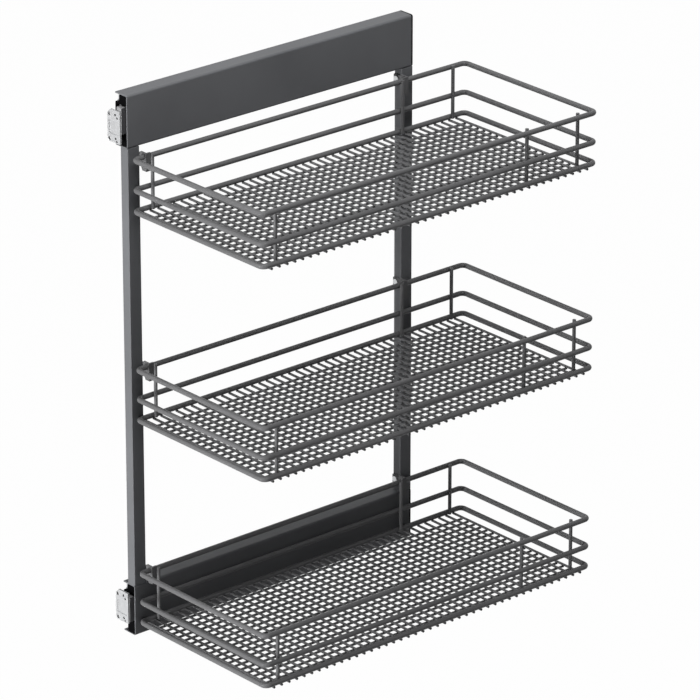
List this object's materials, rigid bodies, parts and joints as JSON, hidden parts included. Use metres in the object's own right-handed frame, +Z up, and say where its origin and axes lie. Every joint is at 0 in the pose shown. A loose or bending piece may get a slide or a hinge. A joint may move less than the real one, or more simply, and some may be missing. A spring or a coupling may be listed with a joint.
{
  "type": "base cabinet pull-out organizer",
  "caption": "Narrow frame on wall-mounted ball-bearing runners, with lift-off wire baskets one above another and adjustable door brackets.",
  "frame": {"origin": "on the cabinet wall's surface, midway between the two screw holes of the upper wall rail", "axes": "+X away from the wall, towards the baskets; +Y to the rear of the cabinet, so the pull-out moves along -Y; +Z up"},
  "size_m": [0.2427, 0.478, 0.62],
  "materials": {
    "grey_coating": "satin powder coat",
    "grey_wire": "satin powder coat on steel wire",
    "zinc_steel": "zinc plated",
    "bright_steel": "ground",
    "cast_plate": "nickel-plated casting, matte",
    "dark_casting": "grey phosphated casting",
    "black_plastic": "matte"
  },
  "bodies": {
    "cabinet_side": {"upper_wall_rail": "zinc_steel", "lower_wall_rail": "zinc_steel", "rear_buffers": "black_plastic"},
    "upper_middle_member": {"upper_middle_rail": "zinc_steel", "upper_collar": "black_plastic"},
    "lower_middle_member": {"lower_middle_rail": "zinc_steel", "lower_collar": "black_plastic"},
    "upper_outer_ball_cage": {"upper_outer_cage": "zinc_steel", "upper_outer_balls": "bright_steel"},
    "upper_inner_ball_cage": {"upper_inner_cage": "zinc_steel", "upper_inner_balls": "bright_steel"},
    "lower_outer_ball_cage": {"lower_outer_cage": "zinc_steel", "lower_outer_balls": "bright_steel"},
    "lower_inner_ball_cage": {"lower_inner_cage": "zinc_steel", "lower_inner_balls": "bright_steel"},
    "frame": {"upper_slide_rail": "zinc_steel", "lower_slide_rail": "zinc_steel", "slide_rivets": "zinc_steel", "upper_profile": "grey_coating", "lower_profile": "grey_coating", "rear_caps": "black_plastic", "door_blocks": "black_plastic", "door_post": "grey_coating", "rear_post": "grey_coating", "post_plugs": "black_plastic", "post_screws": "zinc_steel", "hook_pins": "zinc_steel", "rest_pads": "black_plastic"},
    "upper_door_bracket": {"upper_bracket_plate": "cast_plate", "upper_bracket_arm": "dark_casting", "upper_clamp_screw": "zinc_steel", "upper_wedge": "dark_casting"},
    "lower_door_bracket": {"lower_bracket_plate": "cast_plate", "lower_bracket_arm": "dark_casting", "lower_clamp_screw": "zinc_steel", "lower_wedge": "dark_casting"},
    "basket_1": {"top_rim_1": "grey_wire", "middle_rim_1": "grey_wire", "bottom_rim_1": "grey_wire", "uprights_1": "grey_wire", "cross_wires_1": "grey_wire", "long_wires_1": "grey_wire", "hooks_1": "grey_wire"},
    "basket_2": {"top_rim_2": "grey_wire", "middle_rim_2": "grey_wire", "bottom_rim_2": "grey_wire", "uprights_2": "grey_wire", "cross_wires_2": "grey_wire", "long_wires_2": "grey_wire", "hooks_2": "grey_wire"},
    "basket_3": {"top_rim_3": "grey_wire", "middle_rim_3": "grey_wire", "bottom_rim_3": "grey_wire", "uprights_3": "grey_wire", "cross_wires_3": "grey_wire", "long_wires_3": "grey_wire", "hooks_3": "grey_wire"}
  },
  "joints": [
    {"name": "pull_out", "type": "slide", "parent": "cabinet_side", "child": "frame", "axis": [0, -1, 0], "range_m": [0, 0.4]},
    {"name": "upper_middle_member_slide", "type": "slide", "parent": "cabinet_side", "child": "upper_middle_member", "axis": [0, -1, 0], "range_m": [0, 0.2]},
    {"name": "upper_outer_ball_cage_slide", "type": "slide", "parent": "cabinet_side", "child": "upper_outer_ball_cage", "axis": [0, -1, 0], "range_m": [0, 0.1]},
    {"name": "upper_inner_ball_cage_slide", "type": "slide", "parent": "cabinet_side", "child": "upper_inner_ball_cage", "axis": [0, -1, 0], "range_m": [0, 0.3]},
    {"name": "lower_middle_member_slide", "type": "slide", "parent": "cabinet_side", "child": "lower_middle_member", "axis": [0, -1, 0], "range_m": [0, 0.2]},
    {"name": "lower_outer_ball_cage_slide", "type": "slide", "parent": "cabinet_side", "child": "lower_outer_ball_cage", "axis": [0, -1, 0], "range_m": [0, 0.1]},
    {"name": "lower_inner_ball_cage_slide", "type": "slide", "parent": "cabinet_side", "child": "lower_inner_ball_cage", "axis": [0, -1, 0], "range_m": [0, 0.3]},
    {"name": "upper_bracket_adjust", "type": "slide", "parent": "frame", "child": "upper_door_bracket", "axis": [0, -1, 0], "range_m": [-0.003, 0.003]},
    {"name": "lower_bracket_adjust", "type": "slide", "parent": "frame", "child": "lower_door_bracket", "axis": [0, -1, 0], "range_m": [-0.003, 0.003]},
    {"name": "basket_1_lift", "type": "slide", "parent": "frame", "child": "basket_1", "axis": [0, 0, 1], "range_m": [0, 0.007]},
    {"name": "basket_2_lift", "type": "slide", "parent": "frame", "child": "basket_2", "axis": [0, 0, 1], "range_m": [0, 0.007]},
    {"name": "basket_3_lift", "type": "slide", "parent": "frame", "child": "basket_3", "axis": [0, 0, 1], "range_m": [0, 0.007]}
  ],
  "couplings": [
    {"joint": "upper_middle_member_slide", "follows": "pull_out", "ratio": 0.5},
    {"joint": "upper_outer_ball_cage_slide", "follows": "pull_out", "ratio": 0.25},
    {"joint": "upper_inner_ball_cage_slide", "follows": "pull_out", "ratio": 0.75},
    {"joint": "lower_middle_member_slide", "follows": "pull_out", "ratio": 0.5},
    {"joint": "lower_outer_ball_cage_slide", "follows": "pull_out", "ratio": 0.25},
    {"joint": "lower_inner_ball_cage_slide", "follows": "pull_out", "ratio": 0.75}
  ]
}
